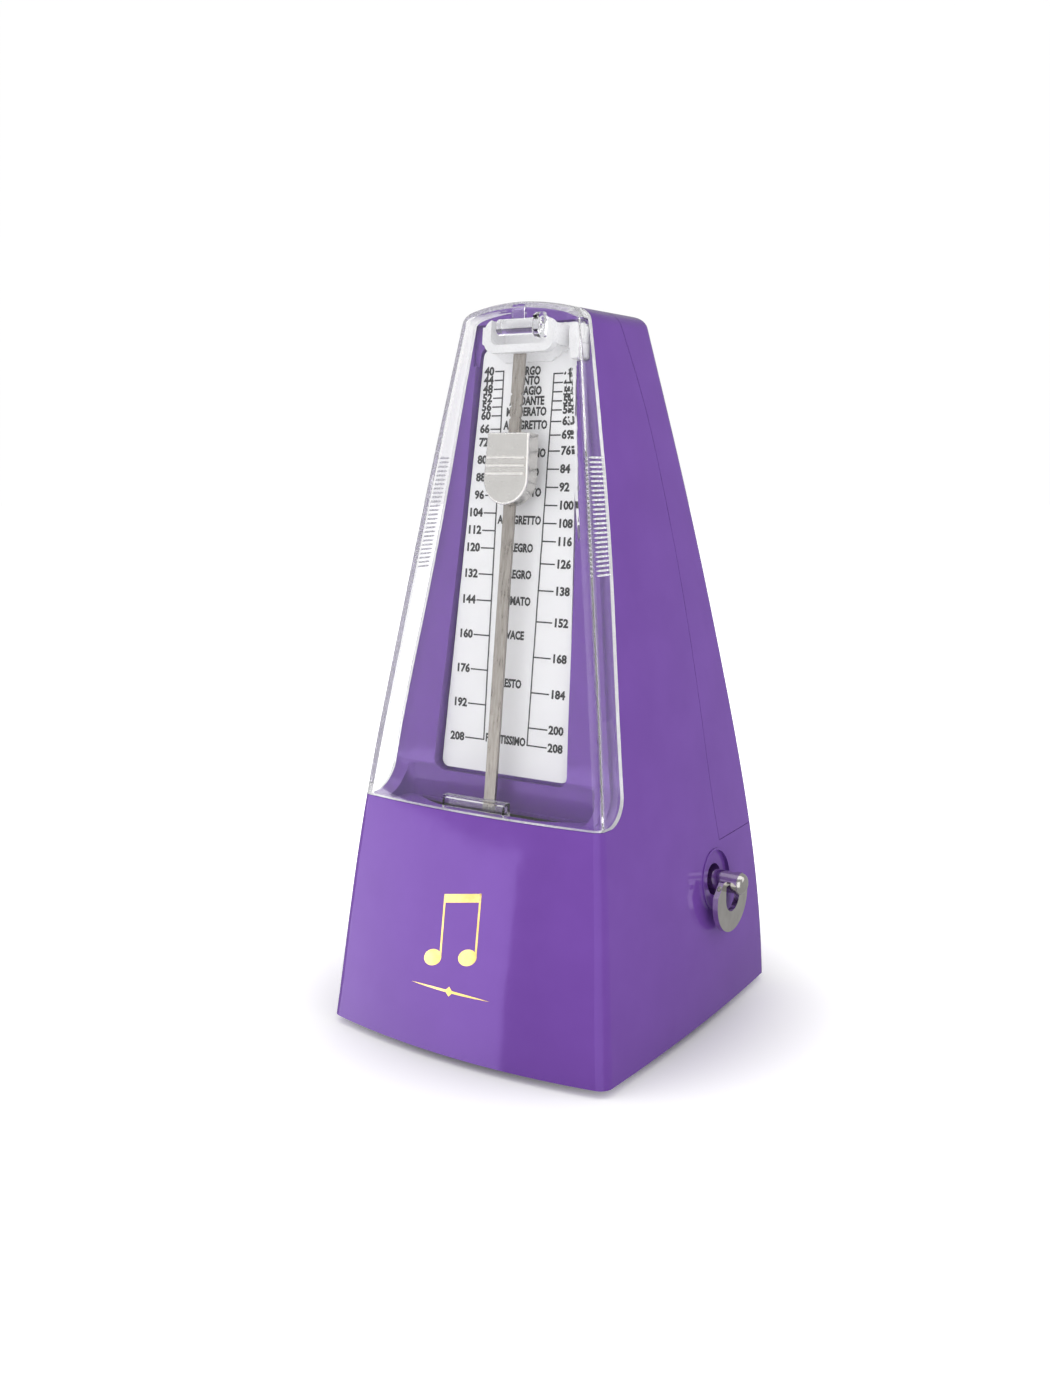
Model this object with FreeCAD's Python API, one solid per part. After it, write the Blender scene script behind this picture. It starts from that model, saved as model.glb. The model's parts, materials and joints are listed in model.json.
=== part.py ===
import FreeCAD, Part
import os
from math import acos, asin, atan, atan2, cos, degrees, pi, radians, sin, sqrt, tan

from FreeCAD import Vector

# A pyramid-shaped wind-up metronome: plastic case, clear lift-off cover, dial, inverted pendulum with a
# sliding weight, spring-driven movement with a crown-wheel (verge) escapement, and a side winding key.
# Units are millimetres. +Z is up, -Y is the front, +X is the key side.
# The origin is on the surface that the metronome stands on, at the centre of its base.

# ---- driving dimensions: case ----
FOOT_HEIGHT = 2.5
FOOT_SUNK = 0.8            # how far the rubber ring is let into the base plate
FOOT_INSET, FOOT_WIDTH = 11.2, 4.0
LEDGE_TOP = 75.45          # top of the base, where the clear cover stands
REAR_COVER_BOTTOM = 57.0
CROWN_TOP = 226.9          # highest point of the arched top
CROWN_RADIUS = 75.0        # the arch's middle stretch
SHOULDER_RADIUS = 10.0     # its two ends, which turn down toward the sides
SHOULDER_CENTRE_X = 14.3
CROWN_ROUNDING = 4.2       # rounding of the top's edge all the way round
WALL = 2.5                 # plastic case wall
COVER_WALL = 2.4           # clear cover wall
SEAM = 0.2                 # gap in the joints between shells
# height, half width, front y, rear y, front bow, side bow, corner radius of the case's outline
CASE_OUTLINE = [
    (2.5, 51.9, -55.2, 55.2, 5.6, 1.8, 4.3),
    (35.0, 48.7, -51.3, 55.6, 4.6, 1.6, 3.9),
    (75.5, 44.2, -45.9, 50.2, 3.3, 1.2, 3.2),
    (120.0, 37.7, -39.1, 43.0, 2.6, 1.0, 3.3),
    (170.0, 29.8, -31.4, 33.8, 2.1, 0.9, 4.0),
    (222.0, 21.0, -23.3, 22.6, 1.6, 0.8, 5.0),
    (240.0, 17.9, -20.5, 18.6, 1.4, 0.7, 4.8),
]
REAR_BOW = 1.0
SHARPEST_CORNER = 1.5
# side view (y, z) of the two seams that run up the case
FRONT_SEAM = [(-31.8, 85.45), (-30.9, 93.0), (-21.4, 155.0), (-17.0, 197.0), (-15.0, 219.0), (-13.6, 240.0)]
FRONT_SEAM_CORNER = 10.0
REAR_SEAM = [(24.7, 57.0), (22.5, 72.0), (21.3, 95.5), (17.8, 149.0), (14.2, 174.4),
             (10.6, 193.4), (5.5, 209.9), (1.4, 221.0), (-3.0, 240.0)]
PEG = (-20.0, 219.6)       # the cover's peg that snaps into the catch's loop (y, z)
PEG_RADIUS, PEG_HEAD_RADIUS = 2.4, 3.6
PEG_START_X, PEG_END_X = -7.0, 8.4
PANEL_THICKNESS = 5.0
PANEL_RAISE = 1.3          # the panel behind the pendulum stands out inside the cover's rim
PANEL_MARGIN = 5.2

# ---- driving dimensions: dial ----
DIAL_LEAN = degrees(atan(0.1247))
DIAL_FOOT = Vector(0, -30.49, 84.34)   # bottom centre of the dial's front face
DIAL_HEIGHT = 130.6
DIAL_BOTTOM_HALF = 23.8
DIAL_TOP_HALF = 16.9
DIAL_THICKNESS = 1.8
DIAL_CORNER = 2.5

# ---- driving dimensions: pendulum ----
SWING_LEAN = degrees(atan(0.1322))
PIVOT = Vector(0, -39.87, 60.0)
ROD_WIDTH = 4.0
ROD_THICKNESS = 1.0
ROD_TOP = 153.4            # along the rod from the pivot
BOB_BELOW = 36.0
BOB_RADIUS = 16.0
BOB_THICKNESS = 12.0
WEIGHT_BOTTOM = 107.6      # along the rod from the pivot
WEIGHT_HEIGHT = 21.6
WEIGHT_TOP_WIDTH = 15.0
WEIGHT_WAIST_WIDTH = 16.0
WEIGHT_FRONT = 3.6         # in front of the rod's middle plane
WEIGHT_BACK = 1.5

# ---- driving dimensions: movement ----
KEY_Y, KEY_Z = 20.0, 45.0
GREAT_TEETH, PINION_TEETH, GREAT_MODULE = 72, 12, 0.6
WHEEL_TEETH, ESCAPE_PINION_TEETH, WHEEL_MODULE = 60, 10, 0.5
CROWN_TEETH = 15
CROWN_WHEEL_RADIUS = 8.0
CROWN_TIPS_X = -2.3
ESCAPE_ALONG = 25.5        # along the pendulum arbor from the pivot
LEFT_PLATE_X, RIGHT_PLATE_X = -24.0, 23.0
PLATE_THICKNESS = 1.5
BASE_PLATE_TOP = 5.0
FRAME_TOP = 69.5
PIVOT_PLAY = 0.04          # radial clearance of a shaft in its bush
PILLARS = [(-25.0, 12.0), (39.0, 14.0), (39.6, 61.4), (4.0, 65.5)]

# ---- driving dimensions: key ----
KEY_HOLE_RADIUS = 5.2
KEY_RECESS_RADIUS = 9.7
KEY_RECESS_DEPTH = 0.8
KEY_RIM_WIDTH, KEY_RIM_RAISE = 0.6, 0.35
STEM_RADIUS = 3.5
STEM_START_X, STEM_END_X = 30.0, 59.6
WING_X = 54.2              # where the cross pin goes through the stem
WING_THICKNESS = 1.8
WING_HALF_WIDTH = 11.2
WING_DROP = 16.4           # from the pin down to the wing's lower edge
WING_OPENING = 5.0         # half the width of the gap between the wing's arms
WING_OPENING_DROP = 9.6    # from the pin down to the bottom of that gap
WING_SHOULDER = -2.6       # height of the arms' outer corners over the pin
PIN_HALF_LENGTH = 6.9

X, Y, Z = Vector(1, 0, 0), Vector(0, 1, 0), Vector(0, 0, 1)
FAR = 90.0                 # beyond the object on every side


# ---- small helpers ----
def box(x0, x1, y0, y1, z0, z1):
    return Part.makeBox(x1 - x0, y1 - y0, z1 - z0, Vector(x0, y0, z0))


def rod(radius, start, direction, length):
    return Part.makeCylinder(radius, length, start, direction)


def tube(outer, inner, start, direction, length):
    return rod(outer, start, direction, length).cut(rod(inner, start, direction, length))


def plate_yz(points, x0, x1):
    """A polygon in the YZ plane, given thickness along X."""
    corners = [Vector(x0, y, z) for y, z in points]
    return Part.Face(Part.makePolygon(corners + corners[:1])).extrude(X * (x1 - x0))


def plate_xz(points, y0, y1):
    """A polygon in the XZ plane, given thickness along Y."""
    corners = [Vector(x, y0, z) for x, z in points]
    return Part.Face(Part.makePolygon(corners + corners[:1])).extrude(Y * (y1 - y0))


def fuse(shapes):
    return shapes[0].multiFuse(shapes[1:]).removeSplitter()


def leaning(shape, lean, origin):
    """Tips a shape that was built upright at the origin backward by an angle, and puts it in place."""
    placed = shape.copy()
    placed.rotate(Vector(), X, -lean)
    placed.translate(origin)
    return placed


def round_edges(shape, radius, chosen):
    edges = [e for e in shape.Edges if chosen(e)]
    return shape.makeFillet(radius, edges) if edges else shape


def circles_meet(c1, r1, c2, r2, near):
    """Where two circles in a plane meet, taking the meeting point nearer to a given one."""
    gap = (c2[0] - c1[0], c2[1] - c1[1])
    d = sqrt(gap[0] ** 2 + gap[1] ** 2)
    along = (r1 ** 2 - r2 ** 2 + d ** 2) / (2 * d)
    off = sqrt(max(r1 ** 2 - along ** 2, 0))
    ux, uy = gap[0] / d, gap[1] / d
    found = [(c1[0] + ux * along - s * uy * off, c1[1] + uy * along + s * ux * off) for s in (1, -1)]
    return min(found, key=lambda p: (p[0] - near[0]) ** 2 + (p[1] - near[1]) ** 2)


def save(name, shape):
    solids = shape.Solids
    kept = solids[0] if len(solids) == 1 else Part.makeCompound(solids)
    if not kept.isValid():
        print("not valid:", name)
    kept.exportStep("parts/%s.step" % name)
    print("%-22s %d solid(s) %9.1f mm3" % (name, len(solids), sum(s.Volume for s in solids)))


# ---- case shells ----
def outline(height, half, front, rear, front_bow, side_bow, corner, inset):
    """The case's outline at one height: four gently bowed sides joined by tangent corner arcs."""
    middle = (front + rear) / 2
    front_r = (half ** 2 + front_bow ** 2) / (2 * front_bow)
    rear_r = (half ** 2 + REAR_BOW ** 2) / (2 * REAR_BOW)
    depth = (rear - front) / 2
    side_r = (depth ** 2 + side_bow ** 2) / (2 * side_bow)
    front_c = (0.0, front - front_bow + front_r)
    rear_c = (0.0, rear + REAR_BOW - rear_r)
    side_c = (half + side_bow - side_r, middle)

    def corner_arc(end_c, end_r, near):
        r = max(corner - inset, SHARPEST_CORNER)
        c = circles_meet(end_c, end_r - inset - r, side_c, side_r - inset - r, near)
        centre = Vector(c[0], c[1], height)

        def reach(start):
            away = Vector(c[0] - start[0], c[1] - start[1], 0)
            return centre + away.normalize() * r

        on_end, on_side = reach(end_c), reach(side_c)
        bisector = (on_end + on_side) / 2 - centre
        return on_end, centre + bisector.normalize() * r, on_side

    f_end, f_mid, f_side = corner_arc(front_c, front_r, (half - corner, front + corner))
    r_end, r_mid, r_side = corner_arc(rear_c, rear_r, (half - corner, rear - corner))

    def left(p):
        return Vector(-p.x, p.y, p.z)

    front_mid = Vector(0, front - front_bow + inset, height)
    rear_mid = Vector(0, rear + REAR_BOW - inset, height)
    side_mid = Vector(half + side_bow - inset, middle, height)
    arcs = [
        (left(f_end), front_mid, f_end), (f_end, f_mid, f_side), (f_side, side_mid, r_side),
        (r_side, r_mid, r_end), (r_end, rear_mid, left(r_end)), (left(r_end), left(r_mid), left(r_side)),
        (left(r_side), left(side_mid), left(f_side)), (left(f_side), left(f_mid), left(f_end)),
    ]
    return Part.Wire([Part.Arc(*arc).toShape() for arc in arcs])


def above_crown(inset):
    """Everything above an arch, of three tangent arcs, that runs level from front to rear."""
    centre_z = CROWN_TOP - CROWN_RADIUS
    turn = asin(SHOULDER_CENTRE_X / (CROWN_RADIUS - SHOULDER_RADIUS))
    shoulder_z = centre_z + (CROWN_RADIUS - SHOULDER_RADIUS) * cos(turn)
    radius = SHOULDER_RADIUS - inset

    def on_shoulder(angle):
        return Vector(SHOULDER_CENTRE_X + radius * sin(angle), -FAR, shoulder_z + radius * cos(angle))

    def mirrored(p):
        return Vector(-p.x, p.y, p.z)

    last_turn = radians(80)
    joint, bend, end = on_shoulder(turn), on_shoulder((turn + last_turn) / 2), on_shoulder(last_turn)
    sky = Vector(end.x, -FAR, CROWN_TOP + FAR)
    edges = [
        Part.Arc(mirrored(joint), Vector(0, -FAR, CROWN_TOP - inset), joint).toShape(),
        Part.Arc(joint, bend, end).toShape(),
        Part.makeLine(end, sky), Part.makeLine(sky, mirrored(sky)),
        Part.makeLine(mirrored(sky), mirrored(end)),
        Part.Arc(mirrored(end), mirrored(bend), mirrored(joint)).toShape(),
    ]
    return Part.Face(Part.Wire(edges)).extrude(Y * (2 * FAR))


def case_solid(inset, rounding=0.0):
    """The whole case as one solid, its walls moved inward by an inset, under the arched top."""
    body = Part.makeLoft([outline(*row, inset) for row in CASE_OUTLINE], True, False)
    body = body.cut(above_crown(inset))
    if rounding:
        body = round_edges(body, rounding, lambda e: e.BoundBox.ZMin > CROWN_TOP - 14)
    return body


def curve(points, back=0.0):
    spline = Part.BSplineCurve()
    spline.interpolate([Vector(0, y + back, z) for y, z in points])
    return spline.toShape()


def profile_yz(edges):
    """Closes a chain of edges in the YZ plane and sweeps it across the whole width."""
    face = Part.Face(Part.Wire(edges))
    face.translate(X * -FAR)
    return face.extrude(X * (2 * FAR))


def line(a, b):
    return Part.makeLine(Vector(0, *a), Vector(0, *b))


def front_zone(back=0.0):
    """The space of the clear cover: above the ledge and in front of the front seam."""
    start, end = FRONT_SEAM[0], FRONT_SEAM[-1]
    r = FRONT_SEAM_CORNER
    foot = (start[0] - r + back, LEDGE_TOP)
    turn = Part.Arc(
        Vector(0, *foot),
        Vector(0, foot[0] + r * sin(pi / 4), LEDGE_TOP + r * (1 - cos(pi / 4))),
        Vector(0, start[0] + back, LEDGE_TOP + r),
    ).toShape()
    top = (end[0] + back, end[1])
    return profile_yz([
        line((-FAR, LEDGE_TOP), foot), turn, curve(FRONT_SEAM, back),
        line(top, (-FAR, end[1])), line((-FAR, end[1]), (-FAR, LEDGE_TOP)),
    ])


def rear_zone():
    """The space of the rear cover: above its bottom edge and behind the rear seam."""
    start, end = REAR_SEAM[0], REAR_SEAM[-1]
    return profile_yz([
        curve(REAR_SEAM), line(end, (FAR, end[1])),
        line((FAR, end[1]), (FAR, start[1])), line((FAR, start[1]), start),
    ])


def inner_zone():
    """The hollow of the case: below the ledge's floor, and behind the panel above it."""
    ledge_floor = LEDGE_TOP - WALL
    start, end = FRONT_SEAM[0], FRONT_SEAM[-1]
    behind = PANEL_THICKNESS
    return profile_yz([
        line((-FAR, -5), (-FAR, ledge_floor)), line((-FAR, ledge_floor), (start[0] + behind, ledge_floor)),
        line((start[0] + behind, ledge_floor), (start[0] + behind, start[1])),
        curve(FRONT_SEAM, behind), line((end[0] + behind, end[1]), (FAR, end[1])),
        line((FAR, end[1]), (FAR, -5)), line((FAR, -5), (-FAR, -5)),
    ])


def dial_prism(margin, front, back):
    """The dial's outline with a margin, between two depths behind its front face."""
    low, high = -margin, DIAL_HEIGHT + margin
    slope = (DIAL_BOTTOM_HALF - DIAL_TOP_HALF) / DIAL_HEIGHT
    wide, narrow = DIAL_BOTTOM_HALF + margin + slope * margin, DIAL_TOP_HALF + margin - slope * margin
    solid = plate_xz([(-wide, low), (wide, low), (narrow, high), (-narrow, high)], front, back)
    solid = round_edges(solid, DIAL_CORNER + margin, lambda e: abs(e.tangentAt(e.FirstParameter).y) > 0.99)
    return leaning(solid, DIAL_LEAN, DIAL_FOOT)


def main_case(outer):
    hollow = case_solid(WALL).common(inner_zone())
    shell = outer.cut(front_zone()).cut(hollow).cut(rear_zone())
    raised = case_solid(PANEL_MARGIN).common(front_zone()).cut(front_zone(-PANEL_RAISE))
    raised = raised.common(box(-FAR, FAR, -FAR, FAR, LEDGE_TOP - 1, CROWN_TOP - 3.4))
    shell = shell.fuse(raised)
    shell = shell.cut(dial_prism(1.2, -9.0, DIAL_THICKNESS + 0.02))
    shell = shell.cut(leaning(box(-20.2, 20.2, -12.0, 0.02, 125.4, 137.8), DIAL_LEAN, DIAL_FOOT))
    # sunken tray and the slot that the pendulum swings in
    tray = round_edges(box(-36, 36, -43.2, -32.5, LEDGE_TOP - 1.4, LEDGE_TOP + 9), 3.0,
                       lambda e: abs(e.tangentAt(e.FirstParameter).z) > 0.99)
    slot = Part.Face(Part.Wire([
        Part.makeLine(Vector(31, -33.0, 60), Vector(-31, -33.0, 60)),
        Part.Arc(Vector(-31, -33.0, 60), Vector(0, -42.0, 60), Vector(31, -33.0, 60)).toShape(),
    ])).extrude(Z * 25)
    shell = shell.cut(tray).cut(slot)
    # posts for the base plate's screws
    for x, y in base_screw_places():
        post = rod(4.0, Vector(x, y, BASE_PLATE_TOP), Z, 16).common(outer)
        shell = shell.fuse(post).cut(rod(1.55, Vector(x, y, 0), Z, 17))
    # key opening, in a shallow round recess with a raised rim
    at_key = Vector(43, KEY_Y, KEY_Z)
    seat = rod(13, at_key, X, 12).common(outer)
    recess = rod(KEY_RECESS_RADIUS, at_key, X, 12).cut(case_solid(KEY_RECESS_DEPTH))
    rim = tube(KEY_RECESS_RADIUS + KEY_RIM_WIDTH, KEY_RECESS_RADIUS, at_key, X, 12)
    shell = shell.fuse(seat).fuse(rim.common(case_solid(-KEY_RIM_RAISE))).cut(recess)
    shell = shell.cut(rod(KEY_HOLE_RADIUS, Vector(38, KEY_Y, KEY_Z), X, 20))
    # lugs that the rear cover's screws go into
    for x in (-30, 30):
        lug = box(x - 5, x + 5, 43.2, 52.5, 50.0, 63.0).common(case_solid(WALL + SEAM))
        hang = box(x - 5, x + 5, 43.2, 58, 50.0, REAR_COVER_BOTTOM - 0.5).common(outer)
        shell = shell.fuse(lug).fuse(hang).cut(rod(1.25, Vector(x, 40, 60), Y, 20))
    return shell.removeSplitter()


def rear_cover(outer):
    shell = outer.cut(case_solid(WALL)).common(rear_zone().translated(Vector(0, SEAM, SEAM)))
    for x in (-30, 30):
        shell = shell.cut(rod(1.55, Vector(x, 40, 60), Y, 20))
        shell = shell.cut(rod(3.0, Vector(x, rear_face_y(60) - 1.0, 60), Y, 10))
    return shell.removeSplitter()


def rear_face_y(height):
    """The rear wall's y at a height, at about the rear cover's screws."""
    low, high = [r for r in CASE_OUTLINE if r[0] <= height][-1], [r for r in CASE_OUTLINE if r[0] > height][0]
    share = (height - low[0]) / (high[0] - low[0])
    return low[3] + (high[3] - low[3]) * share + 0.4 * REAR_BOW


def base_screw_places():
    return [(x, y) for x in (-45.4, 45.4) for y in (-36.0, 38.0)]


def frame_screw_places():
    return [(LEFT_PLATE_X - 6.5, -14.0), (LEFT_PLATE_X - 6.5, 32.0),
            (RIGHT_PLATE_X + PLATE_THICKNESS + 6.5, -14.0), (RIGHT_PLATE_X + PLATE_THICKNESS + 6.5, 32.0)]


def base_plate():
    plate = case_solid(WALL + 0.3).common(box(-FAR, FAR, -FAR, FAR, FOOT_HEIGHT, BASE_PLATE_TOP))
    for x, y in base_screw_places() + frame_screw_places():
        hole = rod(1.55, Vector(x, y, 0), Z, 10)
        plate = plate.cut(hole).cut(rod(3.2, Vector(x, y, 0), Z, FOOT_HEIGHT + 1.3))
    return plate.cut(foot_ring())


def foot_ring():
    """One rubber ring round the underside, let into the base plate."""
    row = CASE_OUTLINE[0]
    ring = Part.Face(outline(*row, FOOT_INSET)).cut(Part.Face(outline(*row, FOOT_INSET + FOOT_WIDTH)))
    ring = ring.translated(Z * -row[0])
    return ring.extrude(Z * (FOOT_HEIGHT + FOOT_SUNK))


def pan_head_screw(head_radius, head_height, shank_radius, length):
    """A cross-recessed screw at the origin: head below z = 0, shank upward."""
    head = rod(head_radius, Vector(0, 0, -head_height), Z, head_height)
    head = round_edges(head, head_height * 0.45, lambda e: e.BoundBox.ZMax < -head_height + 0.01)
    screw = head.fuse(rod(shank_radius, Vector(), Z, length)).removeSplitter()
    arm, half = head_radius * 0.6, head_radius * 0.14
    depth = -head_height + head_height * 0.5
    for a, b in ((arm, half), (half, arm)):
        screw = screw.cut(box(-a, a, -b, b, -head_height - 1, depth))
    return screw


def screws_at(places, screw, direction=Z):
    """Copies of one screw, its shank pointing along a direction, at several places."""
    turn = FreeCAD.Rotation(Z, direction)
    group = []
    for place in places:
        one = screw.copy()
        one.Placement = FreeCAD.Placement(place, turn)
        group.append(one)
    return Part.makeCompound(group)


def base_screws():
    return screws_at([Vector(x, y, FOOT_HEIGHT + 1.3) for x, y in base_screw_places()],
                     pan_head_screw(2.9, 1.2, 1.5, 11.0))


def frame_screws():
    return screws_at([Vector(x, y, FOOT_HEIGHT + 1.3) for x, y in frame_screw_places()],
                     pan_head_screw(2.9, 1.2, 1.5, 4.2))


def rear_cover_screws():
    places = [Vector(x, rear_face_y(60) - 1.0, 60) for x in (-30, 30)]
    return screws_at(places, pan_head_screw(2.8, 1.4, 1.2, 5.5), Y * -1)


# ---- clear cover, dial and catch ----
def clear_cover(outer):
    shell = outer.cut(case_solid(COVER_WALL)).common(front_zone(-SEAM))
    shell = shell.cut(box(-FAR, FAR, -FAR, FAR, 0, LEDGE_TOP + SEAM))
    # hollow latch block on the lower front edge
    floor = LEDGE_TOP + SEAM
    block = box(-11.5, 11.5, -49.0, -43.4, floor, floor + 4.0)
    block = block.cut(box(-10.7, 10.7, -48.2, -44.2, floor - 1, floor + 3.2))
    block = block.common(outer.cut(case_solid(0.8)).fuse(case_solid(0.8)))
    # peg that snaps into the catch's loop, on an arm from the crown
    head = rod(PEG_HEAD_RADIUS, Vector(PEG_END_X - 2.0, *PEG), X, 2.0)
    head = head.cut(Part.makeSphere(5.0, Vector(PEG_END_X + 4.2, *PEG)))
    peg = rod(PEG_RADIUS, Vector(PEG_START_X, *PEG), X, PEG_END_X - 2.0 - PEG_START_X).fuse(head)
    arm = box(-2.2, 2.2, PEG[0] - 0.8, PEG[0] + 0.8, PEG[1], CROWN_TOP - 1.0).common(outer)
    return fuse([shell, block, peg, arm])


def dial_plate():
    return dial_prism(0.0, 0.0, DIAL_THICKNESS)


def top_catch():
    """White bracket over the dial's head: a flat back, a loop that stands forward and a hook at its right."""
    low, high = 127.6, 137.6
    loop_front, loop_back = -8.3, -5.9
    loop_centre, loop_half, wall = 1.2, 12.4, 2.4

    def rounded(centre, half, y0, y1, z0, z1, radius):
        solid = box(centre - half, centre + half, y0, y1, z0, z1)
        return round_edges(solid, radius, lambda e: abs(e.tangentAt(e.FirstParameter).y) > 0.99)

    loop = rounded(loop_centre, loop_half, loop_front, loop_back, low, high, 3.6)
    gap = rounded(loop_centre, loop_half - wall, loop_front - 1, loop_back + 1, low + wall, high + 6.0, 2.2)
    arms = []
    for side in (-1, 1):
        x = loop_centre + side * (loop_half - wall / 2)
        arms.append(box(x - wall / 2, x + wall / 2, loop_back - 0.6, 0.0, low + wall, high - 1.6))
    back = plate_xz([(-8.5, low - 1.5), (8.5, low - 1.5), (17.3, low + 4.6), (17.3, high - 0.4),
                     (-17.3, high - 0.4), (-17.3, low + 4.6)], -1.0, 0.0)
    hook = rounded(17.3, 2.2, -3.2, 0.0, low + 1.6, high - 1.0, 1.9)
    hook = hook.fuse(rounded(17.9, 1.8, -4.2, 0.0, low - 1.6, low + 3.2, 0.8))
    tail = plate_xz([(15.7, low), (18.3, low), (17.7, low - 18.0), (17.2, low - 18.0)], -1.6, 0.0)
    solid = fuse([loop.cut(gap)] + arms + [back, hook, tail])
    return leaning(solid, DIAL_LEAN, DIAL_FOOT)


# ---- pendulum: built upright with the pivot at the origin, then leaned back ----
def swing(shape):
    return leaning(shape, SWING_LEAN, PIVOT)


def rod_strip(play=0.0, bottom=-BOB_BELOW - 12.0):
    half, deep = ROD_WIDTH / 2 + play, ROD_THICKNESS / 2 + play
    return box(-half, half, -deep, deep, bottom, ROD_TOP)


def pendulum_rod():
    strip = rod_strip()
    eye = rod(4.6, Vector(0, -ROD_THICKNESS / 2, 0), Y, ROD_THICKNESS)
    strip = strip.fuse(eye).removeSplitter()
    strip = strip.cut(rod(1.5, Vector(0, -2, 0), Y, 4))
    for along in (134.0, 137.5, 141.0):
        for side in (-1, 1):
            notch = rod(0.45, Vector(side * ROD_WIDTH / 2, -2, along), Y, 4)
            strip = strip.cut(notch)
    return swing(strip)


def pendulum_bob():
    disc = rod(BOB_RADIUS, Vector(0, -BOB_THICKNESS / 2, -BOB_BELOW), Y, BOB_THICKNESS)
    disc = round_edges(disc, 1.2, lambda e: e.Curve.TypeId == "Part::GeomCircle")
    return swing(disc.cut(rod_strip(0.02)))


def pendulum_hub():
    hub = rod(4.2, Vector(0, ROD_THICKNESS / 2, 0), Y, 4.5).fuse(
        rod(2.9, Vector(0, ROD_THICKNESS / 2 + 4.5, 0), Y, 1.5))
    return swing(hub.removeSplitter().cut(rod(1.5, Vector(0, -5, 0), Y, 20)))


ARBOR_END = 36.6


def pendulum_arbor():
    staff = rod(1.5, Vector(0, -1.6, 0), Y, 8.4).fuse(rod(1.2, Vector(0, 6.8, 0), Y, 27.4))
    staff = staff.fuse(rod(0.8, Vector(0, 34.0, 0), Y, ARBOR_END - 34.0))
    return swing(staff.removeSplitter())


def arbor_nut():
    nut = Part.Face(Part.makePolygon([
        Vector(3.0 * cos(pi / 3 * k), -2.4, 3.0 * sin(pi / 3 * k)) for k in range(7)])).extrude(Y * 1.9)
    return swing(nut.cut(rod(1.5, Vector(0, -3, 0), Y, 4)))


def verge_pallets():
    """Two small flags on the pendulum's arbor, one at each side of the crown wheel."""
    flags = []
    reach = CROWN_WHEEL_RADIUS - 0.8
    for along, tilt in ((ESCAPE_ALONG - reach, 62), (ESCAPE_ALONG + reach, -62)):
        collar = tube(2.0, 1.2, Vector(0, along - 1.3, 0), Y, 2.6)
        flag = box(-3.2, -1.3, along - 1.0, along + 1.0, -0.35, 0.35)
        flag.rotate(Vector(), Y, tilt)
        flags.append(fuse([collar, flag.cut(rod(1.2, Vector(0, along - 2, 0), Y, 4))]))
    return swing(Part.makeCompound(flags))


def weight_outline(grow=0.0):
    """Front view of the sliding weight: flat top, sides a little fuller at the waist, round bottom."""
    top, waist = WEIGHT_TOP_WIDTH / 2 + grow, WEIGHT_WAIST_WIDTH / 2 + grow
    low, high = WEIGHT_BOTTOM - grow, WEIGHT_BOTTOM + WEIGHT_HEIGHT + grow
    bend = WEIGHT_BOTTOM + WEIGHT_WAIST_WIDTH / 2
    across = [Vector(-top, 0, high), Vector(top, 0, high)]
    return Part.Face(Part.Wire([
        Part.makeLine(*across), Part.makeLine(across[1], Vector(waist, 0, bend)),
        Part.Arc(Vector(waist, 0, bend), Vector(0, 0, low), Vector(-waist, 0, bend)).toShape(),
        Part.makeLine(Vector(-waist, 0, bend), across[0]),
    ]))


def sliding_weight():
    face = weight_outline()
    face.translate(Y * -WEIGHT_FRONT)
    body = face.extrude(Y * (WEIGHT_FRONT + WEIGHT_BACK))
    body = round_edges(body, 0.7, lambda e: e.BoundBox.YMax < -WEIGHT_FRONT + 0.01)
    for along in (116.9, 119.3, 121.7):
        ridge = rod(0.55, Vector(-9, -WEIGHT_FRONT, along), X, 18)
        body = body.fuse(ridge.common(box(-6.9, 6.9, -9, 0, 100, 140)))
    channel = box(-ROD_WIDTH / 2 - 0.08, ROD_WIDTH / 2 + 0.08, -ROD_THICKNESS / 2 - 1.0,
                  ROD_THICKNESS / 2 + 0.08, 90, 150)
    return swing(body.removeSplitter().cut(channel))


def weight_spring():
    """Bowed leaf in the weight's channel that presses on the rod."""
    front = -ROD_THICKNESS / 2 - 1.0
    low, high = WEIGHT_BOTTOM + 3.0, WEIGHT_BOTTOM + WEIGHT_HEIGHT - 3.0
    middle = (low + high) / 2
    thickness, bow = 0.25, 0.65

    def arc(y):
        return Part.Arc(Vector(0, y, low), Vector(0, y + bow, middle), Vector(0, y, high)).toShape()

    leaf = Part.Face(Part.Wire([
        arc(front + thickness), Part.makeLine(Vector(0, front + thickness, high), Vector(0, front, high)),
        arc(front), Part.makeLine(Vector(0, front, low), Vector(0, front + thickness, low)),
    ])).extrude(X * 3.0)
    leaf.translate(X * -1.5)
    return swing(leaf)


# ---- movement ----
def on_verge(along, up=0.0):
    """The YZ place of a point along the pendulum's arbor, or beside it toward the rod's top."""
    lean = radians(SWING_LEAN)
    return (PIVOT.y + along * cos(lean) + up * sin(lean), PIVOT.z - along * sin(lean) + up * cos(lean))


BARREL = (KEY_Y, KEY_Z)
ESCAPE = on_verge(ESCAPE_ALONG)
BARREL_TO_MIDDLE = GREAT_MODULE * (GREAT_TEETH + PINION_TEETH) / 2
MIDDLE_TO_ESCAPE = WHEEL_MODULE * (WHEEL_TEETH + ESCAPE_PINION_TEETH) / 2
MIDDLE = circles_meet(BARREL, BARREL_TO_MIDDLE, ESCAPE, MIDDLE_TO_ESCAPE, (-5.0, 40.0))


def direction(a, b):
    return atan2(b[1] - a[1], b[0] - a[0])


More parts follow.
